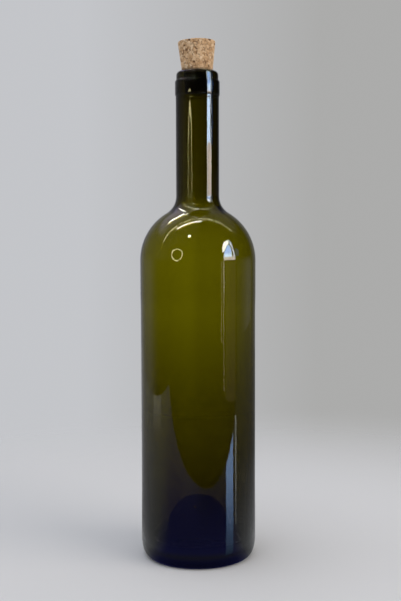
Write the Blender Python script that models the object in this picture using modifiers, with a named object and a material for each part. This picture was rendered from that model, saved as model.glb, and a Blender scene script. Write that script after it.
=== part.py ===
"""Empty wine bottle in olive-green glass, closed by a tapered cork stopper.

Metres, +Z up. The origin is the centre of the flat ring that the bottle stands on.
"""

import math

import bpy

MM = 0.001

# Body and shoulder, outside
BODY_RADIUS = 38.15 * MM
LABEL_RECESS = 0.2 * MM
LABEL_BOTTOM_Z = 20.0 * MM
LABEL_BOTTOM_EASE = 36.0 * MM
LABEL_TOP_Z = 176.0 * MM
LABEL_TOP_EASE = 14.0 * MM
SHOULDER_Z = 197.0 * MM
SHOULDER_RADIUS = 36.3 * MM

# Neck, band and lip, outside
NECK_RADIUS = 14.2 * MM
NECK_FILLET = 13.0 * MM
BAND_BOTTOM_Z = 304.6 * MM
BAND_TOP_Z = 314.4 * MM
BAND_RADIUS = 14.65 * MM
BAND_TOP_ROUND = 0.8 * MM
BAND_FOOT_HEIGHT = 0.5 * MM
LIP_RADIUS = 13.8 * MM
LIP_ROUND = 2.7 * MM
MOUTH_Z = 320.5 * MM

# Heel and the ring that the bottle stands on
HEEL_HEIGHT = 13.5 * MM
HEEL_REACH = 6.0 * MM
HEEL_POWER = 2.25
FOOT_ROUND = 6.5 * MM

# Punt: a round nose on a steep cone, the same centre for its upper and lower face
PUNT_APEX_Z = 39.5 * MM
PUNT_NOSE = 20.5 * MM
PUNT_WALL = 5.0 * MM
PUNT_SLOPE = math.radians(20.0)
GROOVE_ROUND = 4.2 * MM

# Inside of the wall, which thickens from the shoulder down, and faster near the base
SHOULDER_WALL = 2.3 * MM
BASE_WALL = 6.4 * MM
WALL_POWER = 1.5
BORE_RADIUS = 9.25 * MM
BORE_WIDENING = 0.6 * MM
MOUTH_ROUND = 1.0 * MM
INNER_NECK_FILLET = 17.5 * MM

# Cork: pressed into the bore below, free and wider above the mouth
CORK_TOP_RADIUS = 12.25 * MM
CORK_FREE_RADIUS = 10.2 * MM
CORK_HELD_RADIUS = 8.9 * MM
CORK_END_RADIUS = 8.6 * MM
CORK_ABOVE_MOUTH = 19.3 * MM
CORK_FREE_FROM = 1.2 * MM
CORK_HELD_FROM = 1.2 * MM
CORK_IN_NECK = 14.0 * MM
CORK_EDGE = 0.7 * MM
CORK_LEAN = math.radians(1.4)

# Facets
BOTTLE_STEPS = 48
WALL_RINGS = 6
CORK_STEPS = 32

PUNT_CENTRE_Z = PUNT_APEX_Z - PUNT_NOSE


def clear_scene():
    """Empty the scene of its objects."""
    for thing in list(bpy.data.objects):
        bpy.data.objects.remove(thing, do_unlink=True)


def linear(hex_colour):
    """Turn an sRGB hex colour into the linear values that a shader takes."""
    channels = [int(hex_colour[i:i + 2], 16) / 255.0 for i in (1, 3, 5)]
    return tuple(c / 12.92 if c <= 0.04045 else ((c + 0.055) / 1.055) ** 2.4 for c in channels) + (1.0,)


def principled(name, colour, roughness, transmission=0.0, ior=1.5):
    """A Principled material with one colour."""
    material = bpy.data.materials.new(name)
    material.use_nodes = True
    material.diffuse_color = linear(colour)
    shader = material.node_tree.nodes["Principled BSDF"]
    shader.inputs["Base Color"].default_value = linear(colour)
    shader.inputs["Roughness"].default_value = roughness
    shader.inputs["Metallic"].default_value = 0.0
    shader.inputs["Transmission Weight"].default_value = transmission
    shader.inputs["IOR"].default_value = ior
    return material


def arc(centre_r, centre_z, radius, start, end, steps):
    """Points on a circle from one angle to another, in degrees from the outward direction."""
    angles = [math.radians(start + (end - start) * i / steps) for i in range(steps + 1)]
    return [(centre_r + radius * math.cos(a), centre_z + radius * math.sin(a)) for a in angles]


def shoulder_arcs(body_radius, shoulder_radius, neck_radius, fillet):
    """Shoulder and neck fillet, two arcs that touch, from the body up to the straight neck."""
    shoulder_r = body_radius - shoulder_radius
    fillet_r = neck_radius + fillet
    turn = math.acos((fillet_r - shoulder_r) / (shoulder_radius + fillet))
    fillet_z = SHOULDER_Z + (shoulder_radius + fillet) * math.sin(turn)
    turn_degrees = math.degrees(turn)
    shoulder = arc(shoulder_r, SHOULDER_Z, shoulder_radius, 0.0, turn_degrees, 7)
    neck = arc(fillet_r, fillet_z, fillet, 180.0 + turn_degrees, 180.0, 5)
    return shoulder + neck[1:]


def inner_outline():
    """Inside of the bottle, from the punt's apex on the axis up to the top of the lip."""
    slope = math.degrees(PUNT_SLOPE)
    nose = arc(0.0, PUNT_CENTRE_Z, PUNT_NOSE, 90.0, slope, 6)
    # The groove touches the wall and the cone, which lies one nose radius from the nose's centre.
    groove_r = BODY_RADIUS - BASE_WALL - GROOVE_ROUND
    reach = PUNT_NOSE + GROOVE_ROUND - groove_r * math.cos(PUNT_SLOPE)
    groove_z = PUNT_CENTRE_Z + reach / math.sin(PUNT_SLOPE)
    groove = arc(groove_r, groove_z, GROOVE_ROUND, 180.0 + slope, 360.0, 7)
    wall = []
    for i in range(1, WALL_RINGS + 1):
        below_shoulder = 1.0 - i / (WALL_RINGS + 1.0)
        thickness = SHOULDER_WALL + (BASE_WALL - SHOULDER_WALL) * below_shoulder ** WALL_POWER
        wall.append((BODY_RADIUS - thickness, SHOULDER_Z + (groove_z - SHOULDER_Z) * below_shoulder))
    shoulder = shoulder_arcs(BODY_RADIUS - SHOULDER_WALL, SHOULDER_RADIUS - SHOULDER_WALL,
                             BORE_RADIUS + BORE_WIDENING, INNER_NECK_FILLET)
    mouth = arc(BORE_RADIUS + MOUTH_ROUND, MOUTH_Z - MOUTH_ROUND, MOUTH_ROUND, 180.0, 90.0, 2)
    return nose + groove + wall + shoulder + mouth


def outer_outline():
    """Outside of the bottle, from the top of the lip down to the punt's underside on the axis."""
    slope = math.degrees(PUNT_SLOPE)
    lip = arc(LIP_RADIUS - LIP_ROUND, MOUTH_Z - LIP_ROUND, LIP_ROUND, 90.0, 0.0, 3)
    crease = [(LIP_RADIUS, BAND_TOP_Z)]
    band = arc(BAND_RADIUS - BAND_TOP_ROUND, BAND_TOP_Z - BAND_TOP_ROUND, BAND_TOP_ROUND, 90.0, 0.0, 3)
    for angle in (0.0, 30.0, 60.0, 90.0):
        turn = math.radians(angle)
        band.append((NECK_RADIUS + (BAND_RADIUS - NECK_RADIUS) * math.cos(turn),
                     BAND_BOTTOM_Z + BAND_FOOT_HEIGHT * (1.0 - math.sin(turn))))
    shoulder = shoulder_arcs(BODY_RADIUS, SHOULDER_RADIUS, NECK_RADIUS, NECK_FILLET)[::-1]
    label_radius = BODY_RADIUS - LABEL_RECESS
    label = [(BODY_RADIUS, LABEL_TOP_Z), (label_radius, LABEL_TOP_Z - LABEL_TOP_EASE),
             (label_radius, LABEL_BOTTOM_Z + LABEL_BOTTOM_EASE), (BODY_RADIUS, LABEL_BOTTOM_Z)]
    foot_r = (PUNT_NOSE - PUNT_WALL + FOOT_ROUND
              - (FOOT_ROUND - PUNT_CENTRE_Z) * math.sin(PUNT_SLOPE)) / math.cos(PUNT_SLOPE)
    foot = arc(foot_r, FOOT_ROUND, FOOT_ROUND, -90.0, slope - 180.0, 5)
    nose = arc(0.0, PUNT_CENTRE_Z, PUNT_NOSE - PUNT_WALL, slope, 90.0, 5)
    return lip + crease + band + shoulder + label + heel_curve(8) + foot + nose


def heel_curve(steps):
    """Heel as a quarter of a superellipse, from the straight body down to the foot ring."""
    points = []
    for i in range(steps + 1):
        angle = 0.5 * math.pi * i / steps
        out = abs(math.cos(angle)) ** (2.0 / HEEL_POWER)
        down = abs(math.sin(angle)) ** (2.0 / HEEL_POWER)
        points.append((BODY_RADIUS - HEEL_REACH * (1.0 - out), HEEL_HEIGHT * (1.0 - down)))
    return points


def cork_outline():
    """Cork about its own axis, measured from the mouth: top, tapered side, held end, bottom."""
    top = CORK_ABOVE_MOUTH
    bottom = -CORK_IN_NECK
    squeeze = 0.5 * (CORK_FREE_RADIUS + CORK_HELD_RADIUS)
    return [(0.0, top), (CORK_TOP_RADIUS - CORK_EDGE, top),
            (CORK_TOP_RADIUS - 0.3 * CORK_EDGE, top - 0.3 * CORK_EDGE),
            (CORK_TOP_RADIUS, top - CORK_EDGE),
            (CORK_FREE_RADIUS, CORK_FREE_FROM),
            (squeeze, 0.5 * CORK_FREE_FROM),
            (CORK_HELD_RADIUS, -CORK_HELD_FROM),
            (CORK_END_RADIUS, bottom + CORK_EDGE),
            (CORK_END_RADIUS - CORK_EDGE, bottom), (0.0, bottom)]


def turned(name, outline, steps, material, collection):
    """Turn an outline about the Z axis. It runs down its outer side, so faces point out."""
    mesh = bpy.data.meshes.new(name)
    vertices = [(r, 0.0, z) for r, z in outline]
    mesh.from_pydata(vertices, [(i, i + 1) for i in range(len(vertices) - 1)], [])
    mesh.materials.append(material)
    piece = bpy.data.objects.new(name, mesh)
    collection.objects.link(piece)
    screw = piece.modifiers.new("Turn", "SCREW")
    screw.axis = "Z"
    screw.steps = steps
    screw.render_steps = steps
    screw.use_merge_vertices = True
    screw.merge_threshold = 0.00001
    screw.use_smooth_shade = True
    return piece


def build_bottle(collection):
    """The glass, one piece from the lip to the punt."""
    glass = principled("olive_glass", "#5A5410", 0.04, transmission=1.0, ior=1.52)
    outline = inner_outline() + outer_outline()
    outline[0] = (0.0, outline[0][1])
    outline[-1] = (0.0, outline[-1][1])
    return turned("bottle", outline, BOTTLE_STEPS, glass, collection)


def build_cork(collection):
    """The stopper, leaning a little to the left of upright about the centre of the mouth."""
    agglomerate = principled("cork_agglomerate", "#BE9C70", 0.85)
    cork = turned("cork", cork_outline(), CORK_STEPS, agglomerate, collection)
    cork.location = (0.0, 0.0, MOUTH_Z)
    cork.rotation_euler = (0.0, -CORK_LEAN, 0.0)
    return cork


clear_scene()
wine_bottle = bpy.data.collections.new("wine_bottle")
bpy.context.scene.collection.children.link(wine_bottle)
stand = bpy.data.objects.new("stand_point", None)
wine_bottle.objects.link(stand)
for piece in (build_bottle(wine_bottle), build_cork(wine_bottle)):
    piece.parent = stand
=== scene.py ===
"""Looks of an empty wine bottle in olive glass with a tapered cork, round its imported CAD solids."""

import math

import bpy
import numpy as np
from mathutils import Matrix, Vector


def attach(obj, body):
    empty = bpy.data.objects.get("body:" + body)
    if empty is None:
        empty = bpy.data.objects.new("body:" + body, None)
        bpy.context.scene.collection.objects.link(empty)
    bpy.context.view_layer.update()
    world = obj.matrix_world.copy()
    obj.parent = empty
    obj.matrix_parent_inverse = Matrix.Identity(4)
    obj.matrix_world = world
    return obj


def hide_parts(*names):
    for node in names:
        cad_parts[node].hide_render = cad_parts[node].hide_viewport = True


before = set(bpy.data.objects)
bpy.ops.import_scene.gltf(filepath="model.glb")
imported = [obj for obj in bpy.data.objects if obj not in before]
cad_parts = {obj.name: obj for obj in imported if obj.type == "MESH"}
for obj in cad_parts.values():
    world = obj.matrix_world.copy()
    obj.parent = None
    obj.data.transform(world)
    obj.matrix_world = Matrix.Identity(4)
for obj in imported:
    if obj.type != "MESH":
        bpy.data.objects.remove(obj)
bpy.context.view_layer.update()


# The bottle. One piece of soda-lime glass, coloured olive in the melt, that was blown in a two-part
# mould: the outside has the mould's true round form with a raised band below the lip, while the
# inside was shaped by air alone, so the wall is a little uneven and grows thicker towards the base.

# Sizes are in mm, which MM turns into metres, and heights count from the foot ring.
MM = 0.001
BODY_RADIUS = 38.15
LABEL_RECESS = 0.2
LABEL_LOW_Z = 20.0
LABEL_LOW_EASE = 36.0
LABEL_HIGH_Z = 176.0
LABEL_HIGH_EASE = 14.0
SHOULDER_Z = 197.0
SHOULDER_RADIUS = 36.3
NECK_RADIUS = 14.2
NECK_FILLET = 13.0
BAND_LOW_Z = 304.6
BAND_HIGH_Z = 314.4
BAND_RADIUS = 14.65
BAND_TOP_ROUND = 0.8
BAND_FOOT_HEIGHT = 0.5
CREASE_ROUND = 0.2
LIP_RADIUS = 13.8
LIP_ROUND = 2.7
MOUTH_Z = 320.5
PARTING_Z = 302.75
PARTING_RISE = 0.08
PARTING_WIDTH = 0.3
PARTING_REACH = 0.9
HEEL_HEIGHT = 13.5
HEEL_REACH = 6.0
HEEL_POWER = 2.25
FOOT_ROUND = 6.5
PUNT_APEX_Z = 39.5
PUNT_NOSE = 20.5
PUNT_WALL = 5.0
PUNT_SLOPE = 20.0
GROOVE_ROUND = 4.2
SHOULDER_WALL = 2.3
BASE_WALL = 6.4
WALL_POWER = 1.5
BORE_RADIUS = 9.25
BORE_WIDENING = 0.6
MOUTH_ROUND = 1.0
INNER_FILLET = 17.5
BOTTLE_STEPS = 256


def arc(centre_r, centre_z, radius, start, end, steps):
    """Part of a circle in the (r, z) plane: the centre plus the radius times cosine and sine."""
    turn = np.radians(np.linspace(start, end, steps + 1))
    return np.column_stack([centre_r + radius * np.cos(turn), centre_z + radius * np.sin(turn)])


def straight(start, end, steps):
    """Evenly spaced points between two points of an outline, without either end."""
    share = np.linspace(0.0, 1.0, steps + 1)[1:-1, None]
    return np.array(start) * (1.0 - share) + np.array(end) * share


def shoulder_line(body_radius, shoulder_radius, neck_radius, fillet, steps):
    """Shoulder arc and neck fillet from the body up. They touch where the line between their
    centres, as long as the sum of their radii, crosses both."""
    shoulder_r = body_radius - shoulder_radius
    fillet_r = neck_radius + fillet
    turn = math.acos((fillet_r - shoulder_r) / (shoulder_radius + fillet))
    fillet_z = SHOULDER_Z + (shoulder_radius + fillet) * math.sin(turn)
    bend = math.degrees(turn)
    return np.vstack([arc(shoulder_r, SHOULDER_Z, shoulder_radius, 0.0, bend, 2 * steps),
                      arc(fillet_r, fillet_z, fillet, 180.0 + bend, 180.0, steps)[1:]])


def inside_line():
    """Inside of the wall: punt nose, groove, side, shoulder, bore and rounded mouth. The side wall
    thickens downwards with a power of the distance below the shoulder."""
    slope = math.radians(PUNT_SLOPE)
    centre_z = PUNT_APEX_Z - PUNT_NOSE
    nose = arc(0.0, centre_z, PUNT_NOSE, 90.0, PUNT_SLOPE, 20)
    groove_r = BODY_RADIUS - BASE_WALL - GROOVE_ROUND
    reach = PUNT_NOSE + GROOVE_ROUND - groove_r * math.cos(slope)
    groove_z = centre_z + reach / math.sin(slope)
    groove = arc(groove_r, groove_z, GROOVE_ROUND, 180.0 + PUNT_SLOPE, 360.0, 22)
    below_shoulder = np.linspace(1.0, 0.0, 27)[1:-1]
    wall = SHOULDER_WALL + (BASE_WALL - SHOULDER_WALL) * below_shoulder ** WALL_POWER
    side = np.column_stack([BODY_RADIUS - wall, SHOULDER_Z + (groove_z - SHOULDER_Z) * below_shoulder])
    shoulder = shoulder_line(BODY_RADIUS - SHOULDER_WALL, SHOULDER_RADIUS - SHOULDER_WALL,
                             BORE_RADIUS + BORE_WIDENING, INNER_FILLET, 13)
    mouth = arc(BORE_RADIUS + MOUTH_ROUND, MOUTH_Z - MOUTH_ROUND, MOUTH_ROUND, 180.0, 90.0, 6)
    return np.vstack([nose, groove, side, shoulder, straight(shoulder[-1], mouth[0], 12), mouth])


def neck_line(top_z, bottom_z):
    """Outside of the neck, with the low rounded ridge that the mould's finish ring leaves."""
    above, below = PARTING_Z + PARTING_REACH, PARTING_Z - PARTING_REACH
    z = np.concatenate([np.linspace(top_z, above, 3)[:-1], np.linspace(above, below, 13),
                        np.linspace(below, bottom_z, 8)[1:-1]])
    ridge = PARTING_RISE * np.exp(-((z - PARTING_Z) / PARTING_WIDTH) ** 2)
    return np.column_stack([NECK_RADIUS + ridge, z])


def body_line():
    """Outside of the body: the label panel lies a little deeper, eased in over a cosine."""
    flat_top, flat_end = LABEL_HIGH_Z - LABEL_HIGH_EASE, LABEL_LOW_Z + LABEL_LOW_EASE
    z = np.concatenate([SHOULDER_Z - np.array([0.9, 1.8, 2.8, 4.0, 5.5, 7.5, 10.0, 14.0]),
                        np.linspace(LABEL_HIGH_Z, flat_top, 9),
                        np.linspace(flat_top, flat_end, 8)[1:-1],
                        np.linspace(flat_end, LABEL_LOW_Z, 17),
                        np.linspace(LABEL_LOW_Z, HEEL_HEIGHT, 4)[1:-1]])
    inward = np.clip(np.minimum((LABEL_HIGH_Z - z) / LABEL_HIGH_EASE,
                                (z - LABEL_LOW_Z) / LABEL_LOW_EASE), 0.0, 1.0)
    return np.column_stack([BODY_RADIUS - LABEL_RECESS * 0.5 * (1.0 - np.cos(np.pi * inward)), z])


def outside_line():
    """Outside: lip, crease, band, neck, shoulder, body, heel, foot ring and the punt's hollow."""
    slope = math.radians(PUNT_SLOPE)
    centre_z = PUNT_APEX_Z - PUNT_NOSE
    lip = arc(LIP_RADIUS - LIP_ROUND, MOUTH_Z - LIP_ROUND, LIP_ROUND, 90.0, 0.0, 10)
    band_r, band_z = BAND_RADIUS - BAND_TOP_ROUND, BAND_HIGH_Z - BAND_TOP_ROUND
    # The crease touches the lip's side and the band's round top, centre to centre as far as both radii.
    out = LIP_RADIUS + CREASE_ROUND - band_r
    rise = math.sqrt((BAND_TOP_ROUND + CREASE_ROUND) ** 2 - out ** 2)
    meet = math.degrees(math.atan2(rise, out))
    crease = arc(LIP_RADIUS + CREASE_ROUND, band_z + rise, CREASE_ROUND, 180.0, 180.0 + meet, 5)
    turn = np.linspace(0.0, 0.5 * np.pi, 9)[:-1]
    band_foot = np.column_stack([NECK_RADIUS + (BAND_RADIUS - NECK_RADIUS) * np.cos(turn),
                                 BAND_LOW_Z + BAND_FOOT_HEIGHT * (1.0 - np.sin(turn))])
    band = np.vstack([arc(band_r, band_z, BAND_TOP_ROUND, meet, 0.0, 7)[1:], band_foot])
    shoulder = shoulder_line(BODY_RADIUS, SHOULDER_RADIUS, NECK_RADIUS, NECK_FILLET, 24)[::-1]
    quarter = np.linspace(0.0, 0.5 * np.pi, 21)
    heel = np.column_stack([
        BODY_RADIUS - HEEL_REACH * (1.0 - np.abs(np.cos(quarter)) ** (2.0 / HEEL_POWER)),
        HEEL_HEIGHT * (1.0 - np.abs(np.sin(quarter)) ** (2.0 / HEEL_POWER))])
    foot_r = (PUNT_NOSE - PUNT_WALL + FOOT_ROUND
              - (FOOT_ROUND - centre_z) * math.sin(slope)) / math.cos(slope)
    foot = arc(foot_r, FOOT_ROUND, FOOT_ROUND, -90.0, PUNT_SLOPE - 180.0, 14)
    nose = arc(0.0, centre_z, PUNT_NOSE - PUNT_WALL, PUNT_SLOPE, 90.0, 14)
    return np.vstack([lip, crease, band, neck_line(BAND_LOW_Z, shoulder[0, 1]), shoulder,
                      body_line(), heel, foot, nose])


def blown_waves(turn, z):
    """Unevenness of the air-blown inner wall, in mm: cosines of a few whole numbers of waves round
    the bottle, whose phase drifts up the wall. It is full on the body, a quarter of that in the neck,
    and fades out at the groove and in the bore."""
    drift = z / 45.0
    waves = (0.09 * np.cos(2.0 * turn + 0.7) + 0.07 * np.cos(3.0 * turn - 0.25 * drift + 2.0)
             + 0.05 * np.cos(7.0 * turn + 0.4 * np.sin(drift) + 0.5)
             + 0.035 * np.cos(11.0 * turn - 0.3 * drift + 1.1)
             + 0.018 * np.cos(19.0 * turn + 0.5 * np.sin(0.7 * drift)))
    groove_end, neck_start, bore_start = 30.0, 226.0, 312.0
    grown = np.clip((z - groove_end) / 25.0, 0.0, 1.0) * np.clip((neck_start - z) / 20.0, 0.25, 1.0)
    return waves * grown * np.clip((bore_start - z) / 12.0, 0.0, 1.0)


def turned_mesh(name, radii, heights, steps):
    """A shape turned about Z. Row i, column j stands at radius radii[i, j] and height heights[i, j]
    in mm at the angle 2 pi j / steps. The first and the last row close on one point each."""
    turn = 2.0 * np.pi * np.arange(steps) / steps
    rings = len(radii)
    ring_points = np.stack([radii * np.cos(turn), radii * np.sin(turn), heights], axis=-1)
    points = np.vstack([[(0.0, 0.0, heights[0].mean())], ring_points[1:-1].reshape(-1, 3),
                        [(0.0, 0.0, heights[-1].mean())]]) * MM
    row, column = np.meshgrid(np.arange(rings - 3), np.arange(steps), indexing="ij")
    following = (column + 1) % steps
    upper, lower = 1 + row * steps, 1 + (row + 1) * steps
    quads = np.stack([upper + column, lower + column, lower + following, upper + following], -1)
    around, beyond = np.arange(steps), (np.arange(steps) + 1) % steps
    last = len(points) - 1
    end_ring = 1 + (rings - 3) * steps
    first_fan = np.stack([np.zeros(steps, int), 1 + around, 1 + beyond], -1)
    last_fan = np.stack([end_ring + around, np.full(steps, last), end_ring + beyond], -1)
    corners = np.concatenate([quads.ravel(), first_fan.ravel(), last_fan.ravel()]).astype(np.int32)
    sides = np.concatenate([np.full(quads.size // 4, 4), np.full(2 * steps, 3)])
    mesh = bpy.data.meshes.new(name)
    mesh.vertices.add(len(points))
    mesh.vertices.foreach_set("co", points.astype(np.float32).ravel())
    mesh.loops.add(len(corners))
    mesh.loops.foreach_set("vertex_index", corners)
    mesh.polygons.add(len(sides))
    starts = np.concatenate([[0], np.cumsum(sides)[:-1]]).astype(np.int32)
    mesh.polygons.foreach_set("loop_start", starts)
    mesh.polygons.foreach_set("use_smooth", np.ones(len(sides), bool))
    mesh.update(calc_edges=True)
    return mesh


def placed(name, mesh, material):
    """Put a mesh into the scene as an object at the origin, with one material."""
    mesh.materials.append(material)
    piece = bpy.data.objects.new(name, mesh)
    bpy.context.scene.collection.objects.link(piece)
    return piece


def linear(hex_colour):
    """Turn an sRGB hex colour into linear values with an alpha of one."""
    channels = [int(hex_colour[i:i + 2], 16) / 255.0 for i in (1, 3, 5)]
    return tuple(c / 12.92 if c <= 0.04045 else ((c + 0.055) / 1.055) ** 2.4 for c in channels) + (1.0,)


def add_node(tree, kind, values=(), **settings):
    """Add a node. Settings are its properties; values pair a socket with a number or a link."""
    node = tree.nodes.new(kind)
    for key, setting in settings.items():
        setattr(node, key, setting)
    for socket, value in dict(values).items():
        if isinstance(value, bpy.types.NodeSocket):
            tree.links.new(value, node.inputs[socket])
        else:
            node.inputs[socket].default_value = value
    return node


def olive_soda_lime_glass():
    """Soda-lime glass, IOR 1.52, fire-polished and so mirror-smooth. The colour is all in its depth:
    each millimetre takes three tenths of the red and green light and three quarters of the blue,
    which leaves olive through two thin walls and almost black through the base."""
    material = bpy.data.materials.new("olive_soda_lime_glass")
    material.use_nodes = True
    tree = material.node_tree
    shader = tree.nodes["Principled BSDF"]
    shader.inputs["Base Color"].default_value = (1.0, 1.0, 1.0, 1.0)
    shader.inputs["Roughness"].default_value = 0.0
    shader.inputs["IOR"].default_value = 1.52
    shader.inputs["Transmission Weight"].default_value = 1.0
    depth = add_node(tree, "ShaderNodeVolumeAbsorption",
                     {"Color": linear("#E4E249"), "Density": 1500.0})
    tree.links.new(depth.outputs["Volume"], tree.nodes["Material Output"].inputs["Volume"])
    return material


inside = inside_line()
outline = np.vstack([inside, outside_line()])
outline_turn = 2.0 * np.pi * np.arange(BOTTLE_STEPS) / BOTTLE_STEPS
bottle_radii = np.repeat(outline[:, :1], BOTTLE_STEPS, axis=1)
bottle_heights = np.repeat(outline[:, 1:], BOTTLE_STEPS, axis=1)
bottle_radii[:len(inside)] += blown_waves(outline_turn, inside[:, 1:])
bottle = placed("bottle_glass", turned_mesh("bottle_glass", bottle_radii, bottle_heights, BOTTLE_STEPS),
                olive_soda_lime_glass())
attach(bottle, "root")
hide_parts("bottle")


# The cork. A tapered stopper of agglomerated cork: bark granules of one to three millimetres, glued,
# pressed into a rod and ground to shape, so its skin shows cut granules in several tans with dark
# seams, and pits where granules broke out, darkened with painted shade. Its lower part is squeezed
# into the bore.

CORK_TOP_RADIUS = 12.25
CORK_FREE_RADIUS = 10.2
CORK_HELD_RADIUS = 8.9
CORK_END_RADIUS = 8.6
CORK_ABOVE_MOUTH = 19.3
CORK_FREE_FROM = 1.2
CORK_HELD_FROM = 1.2
CORK_IN_NECK = 14.0
CORK_EDGE = 0.7
CORK_LEAN = 1.4
GRANULE = 1.7
GRANULE_BEND = 0.35
GRANULE_BEND_RATE = 2.1
PATTERN_SHIFT = 100.0
SEAM_DEPTH = 0.18
SEAM_WIDTH = 0.32
PIT_DEPTH = 0.4
PIT_SHARE = 0.085
PIT_EDGE = 0.35
PIT_SHADE = 1.4
AXIS_FADE = 2.0
CORK_STEPS = 320


def cork_line():
    """Outline of the cork about its own axis from the top centre to the bottom centre, as evenly
    spaced points on straight runs with a small round at each rim. Heights count from the mouth."""
    top, bottom = CORK_ABOVE_MOUTH, -CORK_IN_NECK
    squeeze = 0.5 * (CORK_FREE_RADIUS + CORK_HELD_RADIUS)
    rim = arc(CORK_TOP_RADIUS - CORK_EDGE, top - CORK_EDGE, CORK_EDGE, 90.0, 0.0, 5)
    foot = arc(CORK_END_RADIUS - CORK_EDGE, bottom + CORK_EDGE, CORK_EDGE, 0.0, -90.0, 4)
    free = (CORK_FREE_RADIUS, CORK_FREE_FROM)
    pinch = (squeeze, 0.5 * CORK_FREE_FROM)
    held = (CORK_HELD_RADIUS, -CORK_HELD_FROM)
    return np.vstack([[(0.0, top)], straight((0.0, top), rim[0], 50), rim,
                      straight(rim[-1], free, 78), [free, pinch, held],
                      straight(held, foot[0], 30), foot,
                      straight(foot[-1], (0.0, bottom), 20), [(0.0, bottom)]])


def granule_pattern(points, size):
    """Which pressed granule a point in mm lies in. Each cell of a cubic lattice holds one granule
    centre, moved at random inside it, and a point belongs to the nearest. Returns the granule's
    random tone from 0 to 1, and how far inside it the point is: the distance to the second
    nearest centre less the distance to the nearest, in mm."""
    repeat = 16
    draw = np.random.default_rng(41).random((repeat, repeat, repeat, 4))
    cell = np.floor(points / size).astype(int)
    nearest = np.full(points.shape[:-1], 1e9)
    second = nearest.copy()
    tone = np.zeros_like(nearest)
    for step in np.ndindex(3, 3, 3):
        there = cell + np.array(step) - 1
        drawn = draw[there[..., 0] % repeat, there[..., 1] % repeat, there[..., 2] % repeat]
        away = np.linalg.norm((there + drawn[..., :3]) * size - points, axis=-1)
        closer = away < nearest
        second = np.where(closer, nearest, np.minimum(second, away))
        tone = np.where(closer, drawn[..., 3], tone)
        nearest = np.where(closer, away, nearest)
    return tone, second - nearest


def agglomerated_cork():
    """Agglomerated cork: matt, with no gloss beyond a trace, tan granules from straw to light brown
    and dark brown seams of binder and bark, and pits darkened with the same dark brown as painted
    shade. Its cells, 0.04 mm wide, are too fine to show, so they are drawn as a mottle of half a
    millimetre. Where it is squeezed into the bore it is painted near black: painted shade for the
    little light that reaches it there through the thick glass."""
    material = bpy.data.materials.new("agglomerated_cork")
    material.use_nodes = True
    tree = material.node_tree
    place = add_node(tree, "ShaderNodeTexCoord")
    tone = add_node(tree, "ShaderNodeAttribute", attribute_name="granule_tone")
    seam = add_node(tree, "ShaderNodeAttribute", attribute_name="seam_and_pit_shade")
    cells = add_node(tree, "ShaderNodeTexNoise", {"Vector": place.outputs["Object"],
                     "Scale": 1.0 / (0.5 * MM), "Detail": 3.0, "Roughness": 0.6})
    bark = add_node(tree, "ShaderNodeTexNoise", {"Vector": place.outputs["Object"],
                    "Scale": 1.0 / (2.2 * MM), "Detail": 2.0})
    mottle = add_node(tree, "ShaderNodeMath", {0: cells.outputs["Fac"], 1: 0.5},
                      operation="SUBTRACT")
    shade = add_node(tree, "ShaderNodeMath", {0: mottle.outputs[0], 1: 1.1, 2: tone.outputs["Fac"]},
                     operation="MULTIPLY_ADD")
    granule = add_node(tree, "ShaderNodeValToRGB", {"Fac": shade.outputs[0]})
    stops = granule.color_ramp.elements
    stops[0].position, stops[0].color = 0.0, linear("#B68F66")
    stops[1].position, stops[1].color = 1.0, linear("#F2D6B2")
    stops.new(0.35).color = linear("#D0A97F")
    stops.new(0.7).color = linear("#DFBB93")
    # Dark brown is mixed in along the seams, which are dark binder, and in the pits as painted shade.
    dark = add_node(tree, "ShaderNodeMapRange", {"Value": bark.outputs["Fac"], "From Min": 0.42,
                    "From Max": 0.62})
    brown = add_node(tree, "ShaderNodeMath", {0: dark.outputs["Result"], 1: seam.outputs["Fac"]},
                     operation="MULTIPLY", use_clamp=True)
    colour = add_node(tree, "ShaderNodeMix", {"Factor": brown.outputs[0],
                      "A": granule.outputs["Color"], "B": linear("#5E3F27")}, data_type="RGBA")
    bump = add_node(tree, "ShaderNodeBump", {"Height": cells.outputs["Fac"], "Strength": 0.5,
                    "Distance": 0.15 * MM})
    shader = tree.nodes["Principled BSDF"]
    shader.inputs["Roughness"].default_value = 0.88
    shader.inputs["Specular IOR Level"].default_value = 0.25
    height = add_node(tree, "ShaderNodeSeparateXYZ", {"Vector": place.outputs["Object"]})
    # Below the mouth the colour turns near black: painted shade on the part held inside the glass.
    held_in_bore = add_node(tree, "ShaderNodeMapRange", {"Value": height.outputs["Z"],
                        "From Min": (MOUTH_Z - 0.2) * MM, "From Max": (MOUTH_Z - 2.2) * MM})
    shaded_in_bore = add_node(tree, "ShaderNodeMix", {"Factor": held_in_bore.outputs["Result"],
                       "A": colour.outputs["Result"], "B": linear("#1E1812")}, data_type="RGBA")
    tree.links.new(shaded_in_bore.outputs["Result"], shader.inputs["Base Color"])
    tree.links.new(bump.outputs["Normal"], shader.inputs["Normal"])
    return material


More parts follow.
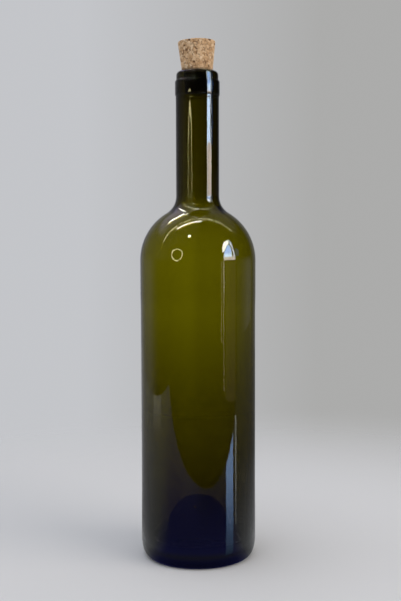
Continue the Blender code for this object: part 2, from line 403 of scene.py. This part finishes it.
def build_cork():
    """The turned outline, pushed in along its own normal by seams and pits, then leant and lifted.
    A seam is deepest at a granule's edge; a pit takes all of one granule in twelve. Both fade out
    near the axis. The pattern is looked up away from its origin, and bent by a sine so that the
    granules have no straight edges."""
    line = cork_line()
    along = np.gradient(line, axis=0)
    along /= np.maximum(np.linalg.norm(along, axis=1, keepdims=True), 1e-9)
    turn = 2.0 * np.pi * np.arange(CORK_STEPS) / CORK_STEPS
    r, z = line[:, :1], line[:, 1:]
    spots = np.stack([r * np.cos(turn), r * np.sin(turn), z + 0.0 * turn], axis=-1) + PATTERN_SHIFT
    bent = spots + GRANULE_BEND * np.sin(spots[..., [1, 2, 0]] * GRANULE_BEND_RATE)
    tone, depth = granule_pattern(bent, GRANULE)
    seam = np.clip(1.0 - depth / SEAM_WIDTH, 0.0, 1.0)
    pit = (tone < PIT_SHARE) * np.clip(depth / PIT_EDGE, 0.0, 1.0)
    sunk = SEAM_DEPTH * seam + PIT_DEPTH * pit
    sunk *= np.clip(r / AXIS_FADE, 0.0, 1.0)
    radii = np.maximum(r + sunk * along[:, 1:], 0.0)
    heights = z - sunk * along[:, :1]
    mesh = turned_mesh("cork_stopper", radii, heights, CORK_STEPS)
    # The second attribute holds the seams and the pits, made darker still by PIT_SHADE: painted shade
    # in the hollows.
    for key, field in (("granule_tone", tone), ("seam_and_pit_shade", np.maximum(seam, PIT_SHADE * pit))):
        values = np.concatenate([[field[0].mean()], field[1:-1].ravel(), [field[-1].mean()]])
        mesh.attributes.new(key, "FLOAT", "POINT").data.foreach_set("value", values.astype(np.float32))
    lean = Matrix.Rotation(-math.radians(CORK_LEAN), 4, "Y")
    mesh.transform(Matrix.Translation((0.0, 0.0, MOUTH_Z * MM)) @ lean)
    return placed("cork_stopper", mesh, agglomerated_cork())


cork = build_cork()
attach(cork, "root")
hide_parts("cork")


# The stand and the surroundings. A pale matt floor thins out into a pale backdrop, which shows
# through the glass from every side. What the smooth glass mirrors is a dim room in front with
# lighter walls at the sides and behind, and a glowing sheet that ends a short way in front: a
# painted reflection of a polished floor.

def flat_mesh(name, corners):
    """One flat face through the given corners, in metres."""
    mesh = bpy.data.meshes.new(name)
    mesh.from_pydata([tuple(c) for c in corners], [], [tuple(range(len(corners)))])
    return mesh


def emission(name, colour, strength):
    """A plain glowing material."""
    material = bpy.data.materials.new(name)
    material.use_nodes = True
    tree = material.node_tree
    tree.nodes.remove(tree.nodes["Principled BSDF"])
    glow = add_node(tree, "ShaderNodeEmission", {"Color": colour, "Strength": strength})
    tree.links.new(glow.outputs["Emission"], tree.nodes["Material Output"].inputs["Surface"])
    return material


def only_in_reflections(thing, through_glass=False):
    """Show a thing in mirror reflections, and if asked through glass, but nowhere else."""
    thing.visible_camera = False
    thing.visible_diffuse = False
    thing.visible_shadow = False
    thing.visible_volume_scatter = False
    thing.visible_transmission = through_glass


def pale_floor_paint():
    """Matt off-white paint. Away from the bottle it thins out, so that no edge shows against the
    backdrop."""
    material = bpy.data.materials.new("pale_floor_paint")
    material.use_nodes = True
    tree = material.node_tree
    shader = tree.nodes["Principled BSDF"]
    shader.inputs["Base Color"].default_value = linear("#E3E4E7")
    shader.inputs["Roughness"].default_value = 1.0
    shader.inputs["Specular IOR Level"].default_value = 0.0
    place = add_node(tree, "ShaderNodeTexCoord")
    apart = add_node(tree, "ShaderNodeVectorMath", {0: place.outputs["Object"]}, operation="LENGTH")
    far = add_node(tree, "ShaderNodeMapRange", {"Value": apart.outputs["Value"], "From Min": 0.15,
                   "From Max": 0.6}, interpolation_type="SMOOTHSTEP")
    clear = add_node(tree, "ShaderNodeBsdfTransparent")
    mixed = add_node(tree, "ShaderNodeMixShader", {0: far.outputs["Result"],
                     1: shader.outputs["BSDF"], 2: clear.outputs["BSDF"]})
    tree.links.new(mixed.outputs["Shader"], tree.nodes["Material Output"].inputs["Surface"])
    return material


def at_height(height, corners):
    """Corners on the floor, lifted to a height so that no two faces share a plane."""
    return [(x, y, height) for x, y in corners]


floor = placed("floor", flat_mesh("floor", at_height(0.0, [
    (-0.8, -0.8), (0.8, -0.8), (0.8, 0.8), (-0.8, 0.8)])), pale_floor_paint())
floor.visible_glossy = False


def polished_floor_glow():
    """A glowing sheet that only the glass mirrors: a painted reflection of a polished stone floor. It
    is dark blue in front of the bottle, where it mirrors the dim room in turn, and grey at the sides
    and behind. Looked down on, it is plain grey but for a painted blue shade close to the foot. It is
    brightest just outside that shade, darker right at the foot as a painted contact shadow, and on
    the right it soon darkens with distance."""
    material = emission("polished_floor_glow", (0.4, 0.4, 0.4, 1.0), 1.0)
    tree = material.node_tree
    place = add_node(tree, "ShaderNodeTexCoord")
    aim = add_node(tree, "ShaderNodeVectorMath", {0: place.outputs["Object"]}, operation="NORMALIZE")
    way = add_node(tree, "ShaderNodeSeparateXYZ", {"Vector": aim.outputs["Vector"]})
    behind = add_node(tree, "ShaderNodeMapRange", {"Value": way.outputs["Y"], "From Min": -1.0,
                      "From Max": 1.0})
    tint = add_node(tree, "ShaderNodeValToRGB", {"Fac": behind.outputs["Result"]})
    stops = tint.color_ramp.elements
    stops[0].position, stops[0].color = 0.17, (0.075, 0.08, 0.33, 1.0)
    stops[1].position, stops[1].color = 1.0, (0.45, 0.45, 0.46, 1.0)
    stops.new(0.38).color = (0.33, 0.34, 0.35, 1.0)
    stops.new(0.62).color = (0.34, 0.35, 0.36, 1.0)
    stops.new(0.86).color = (0.27, 0.27, 0.28, 1.0)
    apart = add_node(tree, "ShaderNodeVectorMath", {0: place.outputs["Object"]}, operation="LENGTH")
    slant = add_node(tree, "ShaderNodeLayerWeight", {"Blend": 0.5})
    low = add_node(tree, "ShaderNodeMapRange", {"Value": slant.outputs["Facing"], "From Min": 0.42,
                   "From Max": 0.63})
    # Close to the foot the sheet keeps its tint from any slant: painted shade of the bottle's base.
    close = add_node(tree, "ShaderNodeMapRange", {"Value": apart.outputs["Value"], "From Min": 0.053,
                     "From Max": 0.041})
    mirroring = add_node(tree, "ShaderNodeMath", {0: low.outputs["Result"], 1: close.outputs["Result"]},
                         operation="MAXIMUM")
    shown = add_node(tree, "ShaderNodeMix", {"Factor": mirroring.outputs[0],
                     "A": (0.14, 0.143, 0.18, 1.0), "B": tint.outputs["Color"]}, data_type="RGBA")
    far = add_node(tree, "ShaderNodeMapRange", {"Value": apart.outputs["Value"], "From Max": 0.5})
    levels = {}
    for side, shares in (("left", ((0.09, 0.5), (0.13, 0.7), (0.2, 0.52), (1.0, 0.5))),
                         ("right", ((0.09, 0.5), (0.13, 0.7), (0.2, 0.55), (0.4, 0.36), (0.7, 0.18),
                                    (1.0, 0.16)))):
        ramp = add_node(tree, "ShaderNodeValToRGB", {"Fac": far.outputs["Result"]})
        stops = ramp.color_ramp.elements
        # The low first stop darkens the glow right at the foot: a painted contact shadow.
        stops[0].position, stops[0].color = 0.07, (0.18, 0.18, 0.18, 1.0)
        stops[1].color = (shares[-1][1],) * 3 + (1.0,)
        for share, level in shares[:-1]:
            stops.new(share).color = (level, level, level, 1.0)
        levels[side] = ramp.outputs["Color"]
    to_right = add_node(tree, "ShaderNodeMapRange", {"Value": way.outputs["X"], "From Min": -0.1,
                        "From Max": 0.1})
    level = add_node(tree, "ShaderNodeMix", {"Factor": to_right.outputs["Result"],
                     "A": levels["left"], "B": levels["right"]}, data_type="RGBA")
    doubled = add_node(tree, "ShaderNodeMath", {0: level.outputs["Result"], 1: 2.0},
                       operation="MULTIPLY")
    glow = tree.nodes["Emission"]
    tree.links.new(shown.outputs["Result"], glow.inputs["Color"])
    tree.links.new(doubled.outputs[0], glow.inputs["Strength"])
    return material


mirrored_floor = placed("mirrored_floor", flat_mesh("mirrored_floor", at_height(0.2 * MM, [
    (-0.72, -0.44), (-0.37, -0.341), (-0.127, -0.287), (0.053, -0.241), (0.135, -0.216), (0.25, -0.206),
    (0.445, -0.165), (1.6, -0.03), (1.6, 1.2), (-0.72, 1.2)])), polished_floor_glow())
only_in_reflections(mirrored_floor)


def fading_glow(name, colour, near, far):
    """A glow on the floor that grows with the distance from the foot. Near and far each pair a
    distance in metres with a strength."""
    material = emission(name, colour, far[1])
    tree = material.node_tree
    place = add_node(tree, "ShaderNodeTexCoord")
    apart = add_node(tree, "ShaderNodeVectorMath", {0: place.outputs["Object"]}, operation="LENGTH")
    grown = add_node(tree, "ShaderNodeMapRange", {"Value": apart.outputs["Value"], "From Min": near[0],
                     "From Max": far[0], "To Min": near[1], "To Max": far[1]})
    tree.links.new(grown.outputs["Result"], tree.nodes["Emission"].inputs["Strength"])
    return material


# Three glowing sheets that only the glass mirrors, each a painted reflection of light on the floor: a
# bright far end on the left, the window's sheen, and a thin line of light from the window frame.
bright_end = placed("bright_floor_end", flat_mesh("bright_floor_end", at_height(0.4 * MM, [
    (-0.72, -0.166), (-0.42, -0.097), (-0.42, 0.06), (-0.72, 0.1)])),
    fading_glow("bright_floor_end", (1.0, 0.98, 0.96, 1.0), (0.43, 0.34), (0.64, 0.75)))
only_in_reflections(bright_end)

sheen = placed("window_sheen_on_floor", flat_mesh("window_sheen_on_floor", at_height(0.4 * MM, [
    (0.0300, -0.0420), (0.259, -0.1905), (0.452, -0.1575), (0.0415, -0.0363)])),
    fading_glow("window_sheen", (0.35, 0.56, 1.0, 1.0), (0.05, 0.5), (0.27, 4.5)))
only_in_reflections(sheen)

frame_line = placed("frame_line_on_floor", flat_mesh("frame_line_on_floor", at_height(0.6 * MM, [
    (0.118, -0.0490), (0.56, -0.132), (0.56, -0.104), (0.118, -0.0430)])),
    fading_glow("frame_line", (0.9, 0.95, 1.0, 1.0), (0.12, 0.9), (0.4, 2.4)))
only_in_reflections(frame_line)


def room_world():
    """Two skies. All but mirror rays see the backdrop, a little lighter on the left. Mirror rays see
    a room, nearly black in front. Its walls brighten towards the back, in other steps on the left
    and the right and below and above eye level, and high up behind it is lit, most on the left."""
    world = bpy.data.worlds.new("room")
    bpy.context.scene.world = world
    world.use_nodes = True
    tree = world.node_tree
    tree.nodes.clear()
    place = add_node(tree, "ShaderNodeTexCoord")
    way = add_node(tree, "ShaderNodeSeparateXYZ", {"Vector": place.outputs["Generated"]})
    side = add_node(tree, "ShaderNodeMapRange", {"Value": way.outputs["X"], "From Min": -0.12,
                    "From Max": 0.12})
    backdrop = add_node(tree, "ShaderNodeMix", {"Factor": side.outputs["Result"],
                        "A": (0.55, 0.56, 0.585, 1.0), "B": (0.41, 0.41, 0.405, 1.0)},
                        data_type="RGBA")
    behind = add_node(tree, "ShaderNodeMapRange", {"Value": way.outputs["Y"], "From Min": -1.0,
                      "From Max": 1.0})
    walls = {}
    for wall, greys in (("low left", ((0.43, 0.01), (0.53, 0.06), (0.66, 0.24), (0.85, 0.21),
                                      (1.0, 0.4))),
                        ("low right", ((0.42, 0.02), (0.46, 0.09), (0.53, 0.09), (0.72, 0.27),
                                       (0.8, 0.2), (0.86, 0.06), (1.0, 0.2))),
                        ("high left", ((0.1, 0.01), (0.4, 0.1), (0.75, 0.15), (1.0, 0.3))),
                        ("high right", ((0.4, 0.005), (0.83, 0.01), (0.9, 0.12), (1.0, 0.25)))):
        ramp = add_node(tree, "ShaderNodeValToRGB", {"Fac": behind.outputs["Result"]})
        stops = ramp.color_ramp.elements
        stops[0].color = (0.004, 0.004, 0.006, 1.0)
        stops[1].color = (greys[-1][1], greys[-1][1], 1.06 * greys[-1][1], 1.0)
        for share, grey in greys[:-1]:
            stops.new(share).color = (grey, grey, 1.06 * grey, 1.0)
        walls[wall] = ramp.outputs["Color"]
    up = add_node(tree, "ShaderNodeMapRange", {"Value": way.outputs["Z"], "From Min": -0.03,
                  "From Max": 0.08})
    left = add_node(tree, "ShaderNodeMix", {"Factor": up.outputs["Result"], "A": walls["low left"],
                    "B": walls["high left"]}, data_type="RGBA")
    right = add_node(tree, "ShaderNodeMix", {"Factor": up.outputs["Result"], "A": walls["low right"],
                     "B": walls["high right"]}, data_type="RGBA")
    room = add_node(tree, "ShaderNodeMix", {"Factor": side.outputs["Result"],
                    "A": left.outputs["Result"], "B": right.outputs["Result"]}, data_type="RGBA")
    overhead = add_node(tree, "ShaderNodeValToRGB", {"Fac": way.outputs["Z"]})
    stops = overhead.color_ramp.elements
    stops[0].position, stops[1].position = 0.52, 0.95
    stops[1].color = (0.1, 0.1, 0.1, 1.0)
    stops.new(0.64).color = (1.0, 1.0, 1.0, 1.0)
    stops.new(0.85).color = (1.0, 1.0, 1.0, 1.0)
    to_back = add_node(tree, "ShaderNodeMapRange", {"Value": way.outputs["Y"], "From Min": 0.0,
                       "From Max": 0.4})
    ceiling = add_node(tree, "ShaderNodeMath", {0: overhead.outputs["Color"],
                       1: to_back.outputs["Result"]}, operation="MULTIPLY")
    overhead_tint = add_node(tree, "ShaderNodeMix", {"Factor": side.outputs["Result"],
                             "A": (0.72, 0.66, 0.98, 1.0), "B": (0.14, 0.13, 0.17, 1.0)},
                             data_type="RGBA")
    lit = add_node(tree, "ShaderNodeMix", {"Factor": ceiling.outputs[0],
                   "A": room.outputs["Result"], "B": overhead_tint.outputs["Result"]},
                   data_type="RGBA")
    room_sky = add_node(tree, "ShaderNodeBackground", {"Color": lit.outputs["Result"]})
    plain_sky = add_node(tree, "ShaderNodeBackground", {"Color": backdrop.outputs["Result"]})
    ray = add_node(tree, "ShaderNodeLightPath")
    mirrored = add_node(tree, "ShaderNodeMath", {0: ray.outputs["Is Glossy Ray"],
                        1: ray.outputs["Is Reflection Ray"]}, operation="MULTIPLY")
    sky = add_node(tree, "ShaderNodeMixShader", {0: mirrored.outputs[0],
                   1: plain_sky.outputs["Background"], 2: room_sky.outputs["Background"]})
    out = add_node(tree, "ShaderNodeOutputWorld")
    tree.links.new(sky.outputs["Shader"], out.inputs["Surface"])


room_world()


# The lamps. A tall window and a door with a gap of light stand to the front right, three thin light
# bars hang overhead, and a ring lamp and a small round lamp shine from the front left. The glass
# mirrors each of them, and two soft lamps light what is matt.

SHOULDER_POINT = np.array([0.018, -0.033, 0.2])


def seen_at(azimuth, elevation, distance):
    """Point that a spot on the shoulder's front sees at an azimuth from -Y towards +X."""
    a, e = math.radians(azimuth), math.radians(elevation)
    way = np.array([math.sin(a) * math.cos(e), -math.cos(a) * math.cos(e), math.sin(e)])
    return SHOULDER_POINT + distance * way


def glowing_pane(name, distance, directions, colour, strength):
    """A glowing pane at a distance in metres, whose corners are given by azimuth and elevation."""
    corners = [seen_at(azimuth, elevation, distance) for azimuth, elevation in directions]
    pane = placed(name, flat_mesh(name, corners), emission(name, linear(colour), strength))
    only_in_reflections(pane)


WINDOW_AWAY = 11.0
DOOR_AWAY = 3.0

# The frames, the sill and the curtain are lit things, not lamps: their glowing panes are painted
# reflections of them.
glowing_pane("window_frame_left", WINDOW_AWAY,
             [(51.8, 15), (51.8, 21), (57, 30), (66, 34.5), (74.5, 35), (72.5, 29.5), (66, 26.5),
              (58.5, 20.5)], "#FFF8EA", 24.0)
glowing_pane("window_high_sky", WINDOW_AWAY,
             [(54.1, 12.0), (72.0, 12.0), (72.4, 14.4), (72.2, 21), (71.5, 27.5), (62.9, 23.6),
              (55.7, 16.2)], "#A6C8FF", 16.0)
glowing_pane("window_low_sky", WINDOW_AWAY,
             [(52.0, 6.3), (71.2, 6.3), (72.0, 12.0), (54.1, 12.0)], "#D0E6FF", 19.0)
glowing_pane("window_frame_right", WINDOW_AWAY,
             [(75.2, 34), (79.5, 30), (78.0, 17.3), (78.4, 6.3), (75.6, 6.3), (75.0, 15.5), (75.5, 25)],
             "#E8F1FF", 13.0)
glowing_pane("window_side_sky", WINDOW_AWAY,
             [(79.6, 6.3), (89, 6.3), (92, 15.8), (82.2, 20)], "#5E8FE8", 0.9)
glowing_pane("window_sill", WINDOW_AWAY,
             [(51.7, 0.8), (79, 0.8), (79, 6.3), (51.7, 6.3)], "#FFEDE0", 9.4)
glowing_pane("door_gap", DOOR_AWAY,
             [(52.0, -3.5), (53.0, -3.5), (53.0, 0.8), (52.0, 0.8)], "#FFF6D8", 7.0)
glowing_pane("door_gap_middle", DOOR_AWAY,
             [(51.6, -6.2), (53.0, -6.2), (53.0, -3.5), (51.6, -3.5)], "#FFEDC4", 3.0)
glowing_pane("door_gap_low", DOOR_AWAY,
             [(51.8, -10.5), (53.2, -10.5), (53.2, -6.2), (51.8, -6.2)], "#FFE6C8", 1.6)
glowing_pane("door_frame", DOOR_AWAY,
             [(46.6, -7.0), (48.2, -7.0), (48.2, 1.0), (46.6, 1.0)], "#FFE2B0", 1.8)
glowing_pane("curtain", DOOR_AWAY,
             [(56, -11), (80, -11), (80, 0.8), (56, 0.8)], "#E8CBB0", 0.3)


def light_bar(name, start, end, height, width, colour, strength):
    """A thin bar lamp between two points of a level plane, glowing downwards."""
    run = np.array(end) - np.array(start)
    aside = 0.5 * width * np.array([-run[1], run[0]]) / np.linalg.norm(run)
    corners = [np.append(np.array(point) + side * aside, height)
               for point, side in ((start, -1), (end, -1), (end, 1), (start, 1))]
    bar = placed(name, flat_mesh(name, corners), emission(name, linear(colour), strength))
    only_in_reflections(bar, through_glass=True)


BAR_HEIGHT = 0.6

light_bar("bar_front", (-0.245, -0.09), (0.04, -0.031), BAR_HEIGHT, 0.014, "#FFFBEF", 40.0)
light_bar("bar_back", (-0.30, 0.172), (-0.075, 0.183), BAR_HEIGHT, 0.014, "#FFFDF6", 60.0)
light_bar("bar_long", (-1.26, -0.205), (0.49, 0.098), BAR_HEIGHT, 0.006, "#FFF8C8", 18.0)


def ring_mesh(name, centre, facing, radius, width, steps):
    """A flat ring about a centre, square to a direction: an inner and an outer circle, half a width
    to either side of the radius, joined by faces. A width of twice the radius gives a full disc."""
    way = facing / np.linalg.norm(facing)
    aside = np.cross(way, (0.0, 0.0, 1.0))
    aside /= np.linalg.norm(aside)
    up = np.cross(aside, way)
    turn = 2.0 * np.pi * np.arange(steps) / steps
    round_it = np.cos(turn)[:, None] * aside + np.sin(turn)[:, None] * up
    points = np.vstack([centre + (radius - 0.5 * width) * round_it,
                        centre + (radius + 0.5 * width) * round_it])
    around = np.arange(steps)
    beyond = (around + 1) % steps
    faces = np.stack([around, beyond, beyond + steps, around + steps], -1)
    mesh = bpy.data.meshes.new(name)
    mesh.from_pydata(points.tolist(), [], faces.tolist())
    return mesh


ring_centre = seen_at(-45.2, 11.0, 0.395)
ring_lamp = placed("ring_lamp", ring_mesh("ring_lamp", ring_centre, SHOULDER_POINT - ring_centre,
                                          radius=0.0755, width=0.0112, steps=64),
                   emission("ring_lamp", linear("#FFF3AE"), 12.0))
only_in_reflections(ring_lamp)

round_centre = seen_at(-26.6, 50.7, 0.6)
round_lamp = placed("round_lamp", ring_mesh("round_lamp", round_centre, SHOULDER_POINT - round_centre,
                                            radius=0.0125, width=0.025, steps=32),
                    emission("round_lamp", linear("#FFFDF0"), 60.0))
only_in_reflections(round_lamp, through_glass=True)


def soft_light(name, place, aim, size, power, colour):
    """A large square lamp at a place, turned to an aim, that lights matt things only."""
    lamp = bpy.data.lights.new(name, "AREA")
    lamp.size = size
    lamp.energy = power
    lamp.color = linear(colour)[:3]
    thing = bpy.data.objects.new(name, lamp)
    bpy.context.scene.collection.objects.link(thing)
    thing.location = place
    thing.rotation_euler = (Vector(aim) - Vector(place)).to_track_quat("-Z", "Y").to_euler()
    thing.visible_camera = False
    thing.visible_glossy = False
    thing.visible_transmission = False


soft_light("window_light", (1.6, -0.9, 1.0), (0.0, 0.0, 0.3), size=1.6, power=17.0, colour="#FFF4E6")
soft_light("ceiling_light", (-0.3, -0.2, 1.8), (0.0, 0.0, 0.1), size=1.6, power=8.0, colour="#F6F8FF")


# The camera stands just above half the bottle's height and looks slightly down on it, level but for
# a hair of roll.

PICTURE_HEIGHT = 601.0
LENS_IN_PIXELS = 950.0
SENSOR = 36.0
CAMERA_PLACE = (0.0017, -0.630, 0.2074)
CAMERA_DOWN = 3.37
CAMERA_ROLL = -0.15

camera_data = bpy.data.cameras.new("camera")
camera_data.sensor_fit = "AUTO"
camera_data.sensor_width = SENSOR
camera_data.lens = LENS_IN_PIXELS * SENSOR / PICTURE_HEIGHT
camera_data.clip_start = 0.01
camera_data.clip_end = 50.0
camera = bpy.data.objects.new("camera", camera_data)
bpy.context.scene.collection.objects.link(camera)
camera.matrix_world = (Matrix.Translation(CAMERA_PLACE)
                       @ Matrix.Rotation(math.radians(90.0 - CAMERA_DOWN), 4, "X")
                       @ Matrix.Rotation(math.radians(CAMERA_ROLL), 4, "Z"))
bpy.context.scene.camera = camera
bpy.context.scene.view_settings.view_transform = "Standard"
